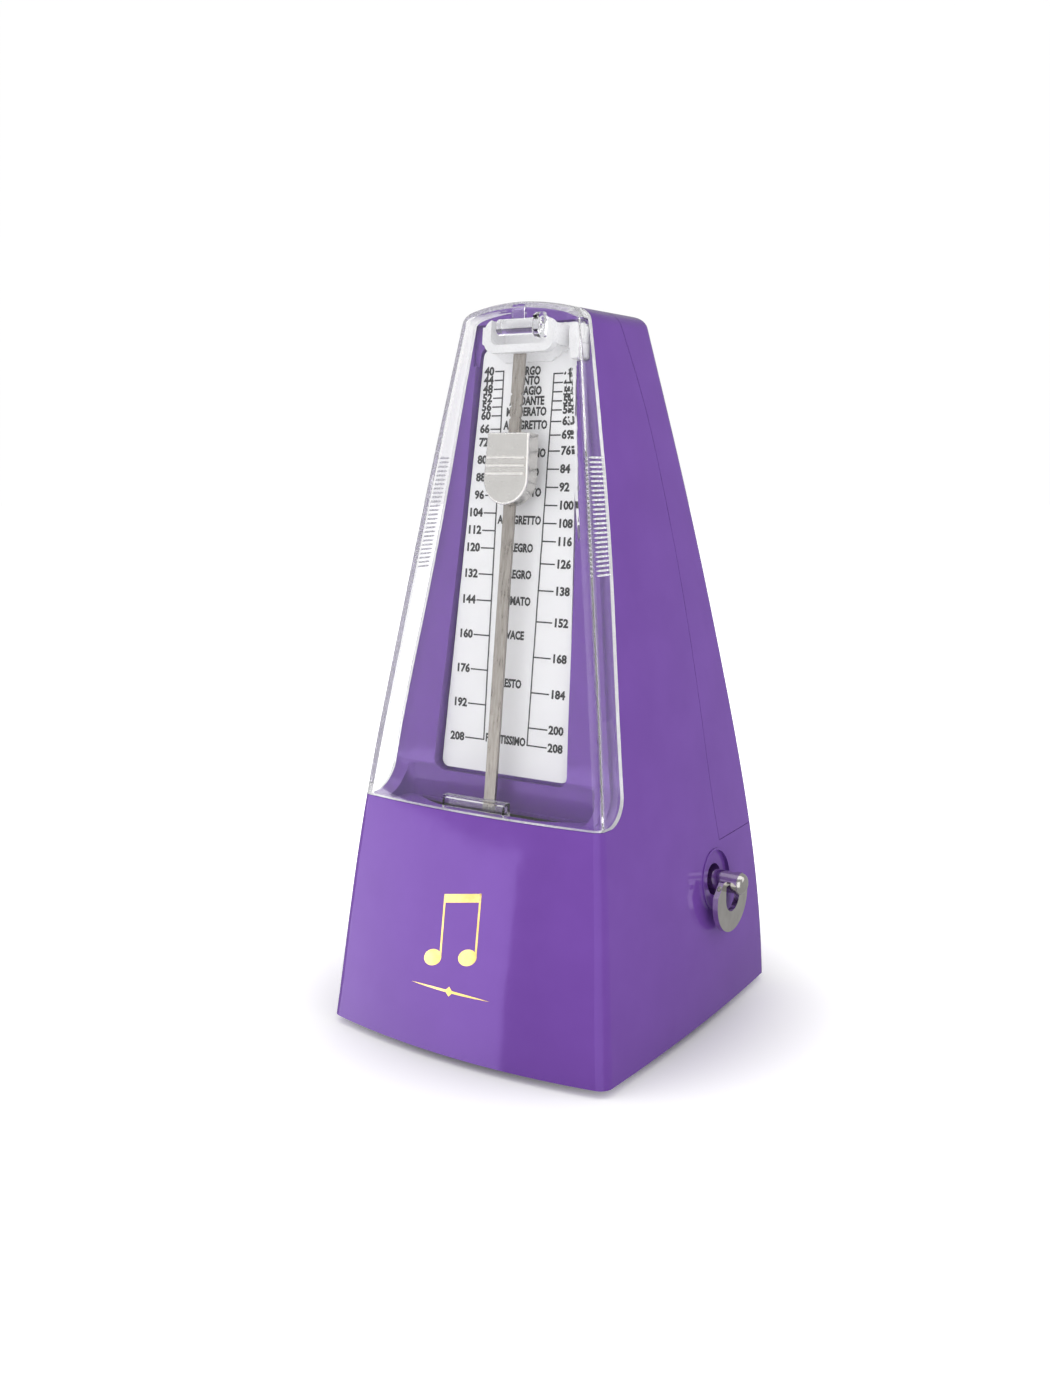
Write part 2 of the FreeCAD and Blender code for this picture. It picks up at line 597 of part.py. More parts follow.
def gear(centre, teeth, module, x0, x1, tooth_at, bore):
    """Involute spur gear on an axis along X, with one tooth centred at a given angle."""
    pitch_r = module * teeth / 2
    base_r = pitch_r * cos(radians(20))
    tip_r, root_r = pitch_r + 0.85 * module, pitch_r - 1.2 * module
    slack = 0.07 * module      # each flank is this much thinner than the full tooth

    def involute(r):
        a = acos(min(base_r / r, 1.0))
        return tan(a) - a

    half = pi / (2 * teeth) - slack / pitch_r + involute(pitch_r)
    radii = [root_r, max(base_r, root_r + 0.05), pitch_r, tip_r]
    flank = [(r, half - involute(max(r, base_r))) for r in radii]
    points = []
    for k in range(teeth):
        at = tooth_at + 2 * pi * k / teeth
        side = [(r, at - a) for r, a in flank] + [(r, at + a) for r, a in reversed(flank)]
        points += [(centre[0] + r * cos(a), centre[1] + r * sin(a)) for r, a in side]
    return plate_yz(points, x0, x1).cut(axle(centre, bore, x0 - 1, x1 + 1))


def axle(centre, radius, x0, x1):
    return rod(radius, Vector(x0, *centre), X, x1 - x0)


def crossed_out(wheel, centre, inner, outer, x0, x1, arms=5):
    """Opens windows in a wheel, leaving straight arms."""
    ring = tube(outer, inner, Vector(x0 - 1, *centre), X, x1 - x0 + 2)
    for k in range(arms):
        bar = box(x0 - 2, x1 + 2, -0.9, 0.9, 0, outer + 2)
        bar.rotate(Vector(), X, 360.0 / arms * k)
        ring = ring.cut(bar.translated(Vector(0, *centre)))
    return wheel.cut(ring)


def great_wheel():
    toward = direction(BARREL, MIDDLE)
    return gear(BARREL, GREAT_TEETH, GREAT_MODULE, 1.6, 3.4, toward, 5.0)


def barrel_drum():
    drum = axle(BARREL, 19.4, 3.4, 18.0).cut(axle(BARREL, 18.4, 4.4, 19.0))
    hub = axle(BARREL, 5.0, 1.0, 4.4)
    return drum.fuse(hub).removeSplitter().cut(axle(BARREL, 3.0 + PIVOT_PLAY, 0, 20))


def barrel_cap():
    disc = axle(BARREL, 19.4, 18.0, 19.0)
    lip, boss = axle(BARREL, 18.35, 17.2, 18.0), axle(BARREL, 5.0, 19.0, 19.6)
    return fuse([disc, lip, boss]).cut(axle(BARREL, 3.0 + PIVOT_PLAY, 0, 22))


def mainspring():
    """Flat spiral strip between the arbor and the barrel's wall."""
    turns, strip = 7, 0.35
    start, end = 5.2, 18.0

    def spiral(offset):
        points = []
        steps = turns * 16
        for k in range(steps + 1):
            a = 2 * pi * turns * k / steps
            r = start + (end - start) * k / steps + offset
            points.append(Vector(5.0, BARREL[0] + r * cos(a), BARREL[1] + r * sin(a)))
        bend = Part.BSplineCurve()
        bend.interpolate(points)
        return bend.toShape(), points[0], points[-1]

    inner, inner_start, inner_end = spiral(0.0)
    outer, outer_start, outer_end = spiral(strip)
    ends = [Part.makeLine(inner_end, outer_end), Part.makeLine(outer_start, inner_start)]
    return Part.Face(Part.Wire([inner, ends[0], outer, ends[1]])).extrude(X * 11.8)


def winding_arbor():
    """Steel arbor through the barrel: pivots in both plates, then a square and the key's thread."""
    left, right = LEFT_PLATE_X, RIGHT_PLATE_X + PLATE_THICKNESS
    shaft = [axle(BARREL, 1.5, left - 0.4, left + 4), axle(BARREL, 3.0, left + 2.5, 21.5),
             axle(BARREL, 2.4, 21.5, right + 3.2), axle(BARREL, 2.0, right + 3.2, 40.0)]
    return fuse(shaft)


def ratchet_points(teeth, tip, root, lean):
    points = []
    for k in range(teeth):
        a = 2 * pi * k / teeth
        points += [(BARREL[0] + tip * cos(a), BARREL[1] + tip * sin(a)),
                   (BARREL[0] + root * cos(a + lean), BARREL[1] + root * sin(a + lean))]
    return points


RATCHET_X0, RATCHET_X1 = 25.3, 26.9
RATCHET_TIP = 8.4


def ratchet_wheel():
    wheel = plate_yz(ratchet_points(24, RATCHET_TIP, 7.3, radians(2.0)), RATCHET_X0, RATCHET_X1)
    return wheel.cut(axle(BARREL, 2.4, 20, 30))


CLICK_PIVOT = (KEY_Y + 3.0, KEY_Z + 15.5)
CLICK_SPRING_FOOT = (KEY_Y - 10.5, KEY_Z + 21.0)


def click():
    """Pawl over the ratchet wheel; its nose stops just clear of the teeth."""
    nose = (KEY_Y - 3.4, KEY_Z + RATCHET_TIP + 0.1)
    y, z = CLICK_PIVOT
    x0, x1 = RATCHET_X0 + 0.2, RATCHET_X1 - 0.2
    arm = plate_yz([
        (y - 1.5, z + 2.2), (y - 8.0, z - 2.6), (nose[0] - 0.6, nose[1] + 0.4), (nose[0] + 0.8, nose[1]),
        (y - 3.0, z - 3.2), (y + 1.5, z - 2.2),
    ], x0, x1)
    boss = axle(CLICK_PIVOT, 2.7, x0, x1)
    return arm.fuse(boss).removeSplitter().cut(axle(CLICK_PIVOT, 1.5 + PIVOT_PLAY, 20, 30))


def click_screw():
    """Shouldered screw in the right plate that the click turns on."""
    plate_out = RIGHT_PLATE_X + PLATE_THICKNESS
    shank = axle(CLICK_PIVOT, 1.5, RIGHT_PLATE_X, RATCHET_X1)
    head = axle(CLICK_PIVOT, 2.6, RATCHET_X1, RATCHET_X1 + 0.9)
    collar = axle(CLICK_PIVOT, 2.6, plate_out, plate_out + 0.6)
    return fuse([shank, head, collar])


def click_spring():
    """Bent wire held by a small screw, resting close above the click."""
    foot = CLICK_SPRING_FOOT
    x = (RATCHET_X0 + RATCHET_X1) / 2
    tip = (CLICK_PIVOT[0] - 4.6, CLICK_PIVOT[1] + 1.2)
    wire = rod(0.35, Vector(x, *foot), Vector(0, tip[0] - foot[0], tip[1] - foot[1]),
               sqrt((tip[0] - foot[0]) ** 2 + (tip[1] - foot[1]) ** 2))
    eye = tube(2.1, 1.2, Vector(x - 0.5, *foot), X, 1.0)
    return fuse([wire.cut(axle(foot, 1.2, 20, 30)), eye])


def click_spring_screw():
    foot, under_head = CLICK_SPRING_FOOT, RATCHET_X1 - 0.2
    return fuse([axle(foot, 1.2, RIGHT_PLATE_X, under_head), axle(foot, 2.2, under_head, under_head + 0.9)])


MIDDLE_PINION_X = (0.6, 4.4)
MIDDLE_WHEEL_X = (-17.6, -16.2)


def middle_pinion():
    """Intermediate arbor with its pinion cut in one piece."""
    toward = direction(MIDDLE, BARREL)
    pinion = gear(MIDDLE, PINION_TEETH, GREAT_MODULE, *MIDDLE_PINION_X, toward + pi / PINION_TEETH, 0.5)
    left, right = LEFT_PLATE_X, RIGHT_PLATE_X + PLATE_THICKNESS
    shaft = [axle(MIDDLE, 0.8, left, right), axle(MIDDLE, 1.4, left + 2.5, RIGHT_PLATE_X - 1.0)]
    return fuse([pinion] + shaft)


def middle_wheel():
    toward = direction(MIDDLE, ESCAPE)
    x0, x1 = MIDDLE_WHEEL_X
    wheel = gear(MIDDLE, WHEEL_TEETH, WHEEL_MODULE, x0, x1, toward, 1.4)
    wheel = crossed_out(wheel, MIDDLE, 4.0, 12.4, x0, x1)
    return wheel.fuse(tube(2.8, 1.4, Vector(x1, *MIDDLE), X, 1.6)).removeSplitter()


ESCAPE_COCK_X = (-11.4, -10.0)


def escape_pinion():
    toward = direction(ESCAPE, MIDDLE)
    tooth_at = toward + pi / ESCAPE_PINION_TEETH
    pinion = gear(ESCAPE, ESCAPE_PINION_TEETH, WHEEL_MODULE, -19.0, -15.0, tooth_at, 0.4)
    ends = [axle(ESCAPE, 0.8, LEFT_PLATE_X, -19.0), axle(ESCAPE, 0.8, -12.4, -5.6)]
    shaft = ends + [axle(ESCAPE, 1.2, -20.5, -12.4)]
    return fuse([pinion] + shaft)


def crown_wheel():
    """Escape wheel whose saw teeth stand along its axis, toward the pendulum's arbor."""
    back_x, floor_x, tip_x = -7.6, -6.6, CROWN_TIPS_X
    r = CROWN_WHEEL_RADIUS
    wheel = axle(ESCAPE, r, back_x, tip_x).cut(axle(ESCAPE, r - 0.9, floor_x, tip_x + 1))
    wheel = wheel.fuse(axle(ESCAPE, 1.8, back_x - 1.2, floor_x + 0.6))
    chord = 2 * pi * r / CROWN_TEETH
    for k in range(CROWN_TEETH):
        past_tip = tip_x + 0.5
        corners = [Vector(past_tip, 0.3, 0), Vector(tip_x - 2.6, 0.3, 0), Vector(past_tip, chord - 0.15, 0)]
        gap = Part.Face(Part.makePolygon(corners + corners[:1])).extrude(Z * (r + 2))
        gap.translate(Z * (r - 3))
        gap.rotate(Vector(), X, 360.0 / CROWN_TEETH * k)
        wheel = wheel.cut(gap.translated(Vector(0, *ESCAPE)))
    wheel = crossed_out(wheel, ESCAPE, 2.6, r - 1.7, back_x, floor_x, 4)
    return wheel.removeSplitter().cut(axle(ESCAPE, 0.8, -12, 0))


# centre, outer radius, shaft radius, x of the plate or cock
BUSHES = [
    (BARREL, 4.2, 1.5, LEFT_PLATE_X), (MIDDLE, 2.2, 0.8, LEFT_PLATE_X), (ESCAPE, 2.2, 0.8, LEFT_PLATE_X),
    (BARREL, 4.6, 2.4, RIGHT_PLATE_X), (MIDDLE, 2.2, 0.8, RIGHT_PLATE_X),
    (ESCAPE, 2.2, 0.8, ESCAPE_COCK_X[0]),
]


def plate_bushes():
    """Brass bushes pressed into the plates and the escape cock."""
    rings = []
    for centre, outer, shaft, x in BUSHES:
        rings.append(tube(outer, shaft + PIVOT_PLAY, Vector(x - 0.1, *centre), X, PLATE_THICKNESS + 0.2))
    return Part.makeCompound(rings)


def verge_bushes():
    front = tube(2.6, 1.2 + PIVOT_PLAY, Vector(0, 7.9, 0), Y, 1.7)
    rear = tube(2.2, 0.8 + PIVOT_PLAY, Vector(0, 34.5, 0), Y, 1.4)
    return Part.makeCompound([swing(front), swing(rear)])


def pillar_holes(plate):
    for place in PILLARS:
        plate = plate.cut(axle(place, 1.25, -FAR, FAR))
    return plate


def side_plate(x0, flange_side):
    x1 = x0 + PLATE_THICKNESS
    foot = BASE_PLATE_TOP
    plate = plate_yz([
        (-29, foot), (45, foot), (45, 67), (28, FRAME_TOP), (-33, FRAME_TOP), (-33, 45), (-29, 41),
    ], x0, x1)
    reach = (x0 - 12, x1) if flange_side < 0 else (x0, x1 + 12)
    plate = plate.fuse(box(*reach, -20, 40, foot, foot + PLATE_THICKNESS)).removeSplitter()
    plate = pillar_holes(plate)
    for x, y in frame_screw_places():
        plate = plate.cut(rod(1.55, Vector(x, y, 0), Z, 12))
    for place in front_tab_places():
        plate = plate.cut(axle(place, 0.95, x0 - 1, x1 + 1))
    for centre, outer, _, x in BUSHES:
        if x == x0:
            plate = plate.cut(axle(centre, outer, x0 - 1, x1 + 1))
    return plate


def front_tab_places():
    """Where the front cock's side tabs are screwed."""
    return [on_verge(13.2, up) for up in (-3.4, 3.4)]


def left_plate():
    plate = side_plate(LEFT_PLATE_X, -1)
    for post in ESCAPE_POSTS:
        plate = plate.cut(axle(post, 1.0, -FAR, 0))
    return plate


def right_plate():
    plate = side_plate(RIGHT_PLATE_X, 1)
    foot = CLICK_SPRING_FOOT
    plate = plate.cut(axle(CLICK_PIVOT, 1.5, 0, FAR)).cut(axle(foot, 1.2, 0, FAR))
    for place in rear_tab_places():
        plate = plate.cut(axle(place, 0.95, 0, FAR))
    return plate


def plate_pillars():
    inner_left = LEFT_PLATE_X + PLATE_THICKNESS
    posts = []
    for place in PILLARS:
        post = axle(place, 2.4, inner_left, RIGHT_PLATE_X)
        left_bore = axle(place, 1.25, inner_left - 1, inner_left + 5)
        right_bore = axle(place, 1.25, RIGHT_PLATE_X - 5, RIGHT_PLATE_X + 1)
        posts.append(post.cut(left_bore).cut(right_bore))
    return Part.makeCompound(posts)


def pillar_screws():
    screw = pan_head_screw(2.3, 1.2, 1.2, PLATE_THICKNESS + 4.5)
    left = screws_at([Vector(LEFT_PLATE_X, *p) for p in PILLARS], screw, X)
    right = screws_at([Vector(RIGHT_PLATE_X + PLATE_THICKNESS, *p) for p in PILLARS], screw, X * -1)
    return Part.makeCompound(left.Solids + right.Solids)


def front_cock():
    left, right = LEFT_PLATE_X + PLATE_THICKNESS, RIGHT_PLATE_X
    bridge = box(left, right, 8.0, 9.5, -6.0, 6.0)
    tabs = [box(left, left + 1.5, 9.5, 17.0, -6.0, 6.0), box(right - 1.5, right, 9.5, 17.0, -6.0, 6.0)]
    bridge = fuse([bridge] + tabs).cut(rod(2.6, Vector(0, 0, 0), Y, 20))
    for up in (-3.4, 3.4):
        bridge = bridge.cut(rod(0.95, Vector(left - 1, 13.2, up), X, right - left + 2))
    return swing(bridge)


def rear_tab_places():
    """Where the rear cock's side tab is screwed."""
    return [on_verge(38.6, up) for up in (3.2, 6.4)]


def rear_cock():
    right = RIGHT_PLATE_X
    bridge = box(-6.0, right, 34.5, 35.8, -5.0, 8.0)
    tab = box(right - 1.4, right, 35.8, 41.0, 1.4, 8.0)
    bridge = fuse([bridge, tab]).cut(rod(2.2, Vector(0, 30, 0), Y, 10))
    for up in (3.2, 6.4):
        bridge = bridge.cut(rod(0.95, Vector(right - 3, 38.6, up), X, 6))
    return swing(bridge)


ESCAPE_POSTS = [(-24.5, 46.8), (-8.6, 66.6)]


def escape_cock():
    x0, x1 = ESCAPE_COCK_X
    y, z = ESCAPE
    arm = plate_yz([
        (-27.0, 44.6), (-22.0, 44.6), (y + 3.4, z - 3.0), (y + 4.4, z + 1.0), (-5.8, 64.4), (-5.8, 69.0),
        (-11.0, 69.0), (y - 3.6, z + 3.4), (-27.0, 49.4),
    ], x0, x1)
    arm = arm.cut(axle(ESCAPE, 2.2, x0 - 1, x1 + 1))
    for post in ESCAPE_POSTS:
        arm = arm.cut(axle(post, 1.0, x0 - 1, x1 + 1))
    return arm


def escape_cock_posts():
    posts = []
    for place in ESCAPE_POSTS:
        post = axle(place, 1.9, LEFT_PLATE_X + PLATE_THICKNESS, ESCAPE_COCK_X[0])
        posts.append(post.cut(axle(place, 1.0, -FAR, 0)))
    return Part.makeCompound(posts)


def cock_screws():
    """Small screws: the front cock's and rear cock's tabs, and the escape cock's posts from both ends."""
    small = pan_head_screw(1.6, 0.9, 0.9, PLATE_THICKNESS + 1.3)
    post_screw = pan_head_screw(1.7, 0.9, 0.95, PLATE_THICKNESS + 2.6)
    outer_right = RIGHT_PLATE_X + PLATE_THICKNESS
    groups = [
        screws_at([Vector(LEFT_PLATE_X, *p) for p in front_tab_places()], small, X),
        screws_at([Vector(outer_right, *p) for p in front_tab_places() + rear_tab_places()], small, X * -1),
        screws_at([Vector(LEFT_PLATE_X, *p) for p in ESCAPE_POSTS], post_screw, X),
        screws_at([Vector(ESCAPE_COCK_X[1], *p) for p in ESCAPE_POSTS], post_screw, X * -1),
    ]
    return Part.makeCompound([s for g in groups for s in g.Solids])


# ---- winding key ----
def key_stem():
    stem = axle(BARREL, STEM_RADIUS, STEM_START_X, STEM_END_X)
    stem = round_edges(stem, 2.0, lambda e: e.BoundBox.XMin > STEM_END_X - 0.01)
    stem = stem.cut(axle(BARREL, 2.0, STEM_START_X - 1, 40.5))
    return stem.cut(rod(0.7, Vector(WING_X, KEY_Y - 10, KEY_Z), Y, 20))


def key_pin():
    return rod(0.7, Vector(WING_X, KEY_Y - PIN_HALF_LENGTH, KEY_Z), Y, 2 * PIN_HALF_LENGTH)


def key_wing():
    """Horseshoe finger plate that hangs on the cross pin and folds outward."""
    half, open_half = WING_HALF_WIDTH, WING_OPENING
    centre_z = half - WING_DROP
    arm_top = 1.6

    def at(y, z):
        return Vector(0, KEY_Y + y, KEY_Z + z)

    def arm_lines(side):
        """The straight edges of one arm, from the outer arc up and over to the gap."""
        outline = [at(side * half, centre_z), at(side * (half - 0.2), WING_SHOULDER),
                   at(side * PIN_HALF_LENGTH, arm_top), at(side * open_half, arm_top),
                   at(side * open_half, inner_z)]
        return [Part.makeLine(a, b) for a, b in zip(outline, outline[1:])]

    inner_z = open_half - WING_OPENING_DROP
    outer_arc = Part.Arc(at(-half, centre_z), at(0, -WING_DROP), at(half, centre_z)).toShape()
    gap_end, gap_bottom = at(open_half, inner_z), at(0, inner_z - open_half)
    inner_arc = Part.Arc(gap_end, gap_bottom, at(-open_half, inner_z)).toShape()
    edges = [outer_arc] + arm_lines(1) + [inner_arc] + arm_lines(-1)
    face = Part.Face(Part.Wire(Part.__sortEdges__(edges)))
    wing = face.extrude(X * WING_THICKNESS)
    wing.translate(X * (WING_X - WING_THICKNESS / 2))
    return wing.cut(rod(0.7 + PIVOT_PLAY, Vector(WING_X, KEY_Y - 12, KEY_Z), Y, 24))


def main():
    os.makedirs("parts", exist_ok=True)
    outer = case_solid(0.0, CROWN_ROUNDING)
    parts = {
        "main_case": main_case(outer),
        "rear_cover": rear_cover(outer),
        "clear_cover": clear_cover(outer),
        "base_plate": base_plate(),
        "foot_ring": foot_ring(),
        "base_screws": base_screws(),
        "frame_screws": frame_screws(),
        "rear_cover_screws": rear_cover_screws(),
        "dial_plate": dial_plate(),
        "top_catch": top_catch(),
        "pendulum_rod": pendulum_rod(),
        "pendulum_bob": pendulum_bob(),
        "pendulum_hub": pendulum_hub(),
        "pendulum_arbor": pendulum_arbor(),
        "arbor_nut": arbor_nut(),
        "verge_pallets": verge_pallets(),
        "sliding_weight": sliding_weight(),
        "weight_spring": weight_spring(),
        "great_wheel": great_wheel(),
        "barrel_drum": barrel_drum(),
        "barrel_cap": barrel_cap(),
        "mainspring": mainspring(),
        "winding_arbor": winding_arbor(),
        "ratchet_wheel": ratchet_wheel(),
        "click": click(),
        "click_screw": click_screw(),
        "click_spring": click_spring(),
        "click_spring_screw": click_spring_screw(),
        "middle_pinion": middle_pinion(),
        "middle_wheel": middle_wheel(),
        "escape_pinion": escape_pinion(),
        "crown_wheel": crown_wheel(),
        "plate_bushes": plate_bushes(),
        "verge_bushes": verge_bushes(),
        "left_plate": left_plate(),
        "right_plate": right_plate(),
        "plate_pillars": plate_pillars(),
        "pillar_screws": pillar_screws(),
        "front_cock": front_cock(),
        "rear_cock": rear_cock(),
        "escape_cock": escape_cock(),
        "escape_cock_posts": escape_cock_posts(),
        "cock_screws": cock_screws(),
        "key_stem": key_stem(),
        "key_pin": key_pin(),
        "key_wing": key_wing(),
    }
    for name, shape in parts.items():
        save(name, shape)


main()
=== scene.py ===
"""Looks of a pyramid-shaped wind-up metronome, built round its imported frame.

Metres, +Z up, -Y is the front with the dial, +X is the side with the winding key.
"""

import json
import math

import bmesh
import bpy
from mathutils import Matrix, Vector
from mathutils.bvhtree import BVHTree


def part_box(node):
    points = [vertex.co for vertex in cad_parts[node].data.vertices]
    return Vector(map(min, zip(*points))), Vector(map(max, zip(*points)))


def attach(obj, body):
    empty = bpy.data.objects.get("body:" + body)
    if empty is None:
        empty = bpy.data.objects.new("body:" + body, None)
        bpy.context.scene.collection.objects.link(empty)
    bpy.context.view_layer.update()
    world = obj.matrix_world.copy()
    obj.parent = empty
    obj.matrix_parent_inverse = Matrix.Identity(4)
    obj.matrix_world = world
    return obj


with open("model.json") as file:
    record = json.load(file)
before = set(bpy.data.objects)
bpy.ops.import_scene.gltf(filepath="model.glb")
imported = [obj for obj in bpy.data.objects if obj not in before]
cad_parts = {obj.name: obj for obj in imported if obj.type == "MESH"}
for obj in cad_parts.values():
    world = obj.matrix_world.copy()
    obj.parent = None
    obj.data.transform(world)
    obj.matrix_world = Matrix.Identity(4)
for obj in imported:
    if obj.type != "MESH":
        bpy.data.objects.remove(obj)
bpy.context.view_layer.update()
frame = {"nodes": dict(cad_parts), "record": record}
MM = 0.001
X, Y, Z = Vector((1, 0, 0)), Vector((0, 1, 0)), Vector((0, 0, 1))

# ---- camera ----
CAMERA_AIM = Vector((2.25, 0.0, 103.7)) * MM
CAMERA_AZIMUTH = math.radians(32.53)      # from the front towards the key side
CAMERA_ELEVATION = math.radians(10.18)
CAMERA_DISTANCE = 430.8 * MM
CAMERA_LENS = 33.956
CAMERA_SHIFT_X = -0.02754

# ---- dial ----
DIAL_LEAN = math.atan(0.1247)
DIAL_THICKNESS = 1.8 * MM
PRINT_RAISE = 0.03 * MM
PRINT_THICKNESS = 0.05 * MM
LINE_WIDTH = 0.42 * MM
SCALE_TOP = 150.9 * MM                    # where the scale would put 0 beats a minute, up the dial
SCALE_PER_BEAT = 0.6775 * MM
RAIL_LOW, RAIL_HIGH = 8.15 * MM, 9.2 * MM       # half distance between the rails at the scale's two ends
TICK_LOW, TICK_HIGH = 15.1 * MM, 12.2 * MM      # outer end of the ticks at the scale's two ends
NUMBER_HEIGHT = 2.45 * MM
NUMBER_SQUEEZE = 1.0
NUMBER_GAP = 0.6 * MM
WORD_HEIGHT = 2.45 * MM
WORD_SQUEEZE = 0.74
LETTER_BOLDNESS = 0.06                    # how far outlines are pushed out, as a share of the height
CAP_SHARE = 0.69                          # a capital's height as a share of the font's size
LEFT_BEATS = (40, 44, 48, 52, 56, 60, 66, 72, 80, 88, 96, 104, 112, 120, 132, 144, 160, 176, 192, 208)
RIGHT_BEATS = (42, 46, 50, 54, 58, 63, 69, 76, 84, 92, 100, 108, 116, 126, 138, 152, 168, 184, 200, 208)
TEMPO_WORDS = (
    ("LARGO", 40.5), ("LENTO", 44.8), ("ADAGIO", 49.3), ("ANDANTE", 53.8), ("MODERATO", 58.6),
    ("ALLEGRETTO", 64.5), ("ANDANTINO", 77), ("ANIMATO", 85.5), ("MODERATO", 94.5), ("ALLEGRETTO", 107),
    ("ALLEGRO", 119.5), ("ALLEGRO", 131.5), ("ANIMATO", 143.5), ("VIVACE", 159), ("PRESTO", 181),
    ("PRESTISSIMO", 207),
)

# ---- ornament on the front ----
ORNAMENT_X = -2.0 * MM
FOIL_RAISE = 0.04 * MM
FOIL_THICKNESS = 0.03 * MM
RAY_START_Y = -1.0                        # well in front of the case

# ---- grip ribs on the clear cover ----
RIB_COUNT = 26
RIB_LOW_Z, RIB_HIGH_Z = 147.5 * MM, 181.2 * MM
RIB_LOW_Y = (-31.2 * MM, -24.0 * MM)
RIB_HIGH_Y = (-26.8 * MM, -19.6 * MM)
RIB_RADIUS = 0.32 * MM
RIB_END_TAPER = 0.35                      # a rib's end rings, as a share of its full radius
RAY_START_X = 0.2                         # well outside the side walls

# ---- frosted edges of the clear cover, made whitish as a painted reflection: its faces with the case this near in front of them ----
RIM_START, RIM_REACH = 0.02 * MM, 0.9 * MM


# ---- materials ----
def new_material(name, **sockets):
    """A material with one Principled shader, whose sockets get plain values."""
    made = bpy.data.materials.new(name)
    made.use_nodes = True
    shader = made.node_tree.nodes["Principled BSDF"]
    for socket, value in sockets.items():
        shader.inputs[socket.replace("_", " ")].default_value = value
    return made


def shader_of(made):
    return made.node_tree.nodes["Principled BSDF"]


def noise(made, scale, detail=2.0, stretch=(1, 1, 1)):
    """Noise in the piece's own coordinates; scale is features per metre."""
    nodes, links = made.node_tree.nodes, made.node_tree.links
    where = nodes.new("ShaderNodeTexCoord")
    mapping = nodes.new("ShaderNodeMapping")
    mapping.inputs["Scale"].default_value = stretch
    texture = nodes.new("ShaderNodeTexNoise")
    texture.inputs["Scale"].default_value = scale
    texture.inputs["Detail"].default_value = detail
    links.new(where.outputs["Object"], mapping.inputs["Vector"])
    links.new(mapping.outputs["Vector"], texture.inputs["Vector"])
    return texture.outputs["Fac"]


def vary(made, socket, fac, low, high, start=0.3, end=0.7):
    """Drives a number socket between two values by a pattern."""
    nodes, links = made.node_tree.nodes, made.node_tree.links
    spread = nodes.new("ShaderNodeMapRange")
    spread.inputs["From Min"].default_value = start
    spread.inputs["From Max"].default_value = end
    spread.inputs["To Min"].default_value = low
    spread.inputs["To Max"].default_value = high
    links.new(fac, spread.inputs["Value"])
    links.new(spread.outputs["Result"], shader_of(made).inputs[socket])


def tint(made, fac, dark, light, start=0.3, end=0.7):
    """Drives the base colour between two colours by a pattern."""
    nodes, links = made.node_tree.nodes, made.node_tree.links
    ramp = nodes.new("ShaderNodeValToRGB")
    ramp.color_ramp.elements[0].position = start
    ramp.color_ramp.elements[0].color = (*dark, 1)
    ramp.color_ramp.elements[1].position = end
    ramp.color_ramp.elements[1].color = (*light, 1)
    links.new(fac, ramp.inputs["Fac"])
    links.new(ramp.outputs["Color"], shader_of(made).inputs["Base Color"])


def bump(made, fac, height, strength=1.0):
    nodes, links = made.node_tree.nodes, made.node_tree.links
    raised = nodes.new("ShaderNodeBump")
    raised.inputs["Distance"].default_value = height
    raised.inputs["Strength"].default_value = strength
    links.new(fac, raised.inputs["Height"])
    links.new(raised.outputs["Normal"], shader_of(made).inputs["Normal"])


def purple_plastic():
    """Glossy moulded plastic: faint swirl in the colour and a very slight ripple of the mould."""
    made = new_material("purple_gloss_plastic", IOR=1.5, Specular_IOR_Level=0.6,
                        Specular_Tint=(0.55, 0.38, 1.0, 1))
    tint(made, noise(made, 55, 3), (0.150, 0.060, 0.318), (0.164, 0.067, 0.345))
    vary(made, "Roughness", noise(made, 900, 3), 0.05, 0.11)
    bump(made, noise(made, 130, 1), 0.02 * MM)
    return made


def clear_plastic():
    """Crystal acrylic: polished, with the faintest ripple of the mould."""
    made = new_material("clear_acrylic", Base_Color=(0.99, 0.99, 0.995, 1), Transmission_Weight=1.0,
                        IOR=1.49, Specular_IOR_Level=0.1)
    vary(made, "Roughness", noise(made, 220, 4), 0.0, 0.012, 0.45, 0.8)
    return made


def frosted_plastic():
    """The same acrylic where it is moulded with a fine grain, as on the grip ribs. On the clear cover's rim
    faces its whitish tone is also a painted reflection, standing in for the bright edges.
    """
    made = new_material("frosted_acrylic_and_painted_rim_reflection", Transmission_Weight=0.45, IOR=1.49)
    tint(made, noise(made, 500, 3), (0.9, 0.9, 0.93), (0.97, 0.97, 0.98))
    vary(made, "Roughness", noise(made, 2400, 2), 0.18, 0.34)
    return made


def white_plastic(name, light, roughness):
    """Moulded white plastic with a fine spark-eroded grain."""
    made = new_material(name, IOR=1.48)
    dark = tuple(channel * 0.965 for channel in light)
    tint(made, noise(made, 60, 3), dark, light)
    vary(made, "Roughness", noise(made, 1500, 2), roughness - 0.06, roughness + 0.06)
    bump(made, noise(made, 2600, 2), 0.006 * MM)
    return made


def brushed_metal(name, dark, light, roughness, stretch, grain=0.004 * MM):
    """Metal with its grain drawn out along one direction."""
    made = new_material(name, Metallic=1.0)
    streaks = noise(made, 1400, 4, stretch)
    tint(made, streaks, dark, light)
    vary(made, "Roughness", streaks, roughness - 0.08, roughness + 0.08)
    bump(made, streaks, grain)
    return made


def cast_metal(name, dark, light, roughness, grain=0.004 * MM):
    """Metal with a fine even grain, as from tumbling and plating."""
    made = new_material(name, Metallic=1.0)
    tint(made, noise(made, 180, 4), dark, light)
    vary(made, "Roughness", noise(made, 2200, 3), roughness - 0.05, roughness + 0.07)
    bump(made, noise(made, 3200, 3), grain)
    return made


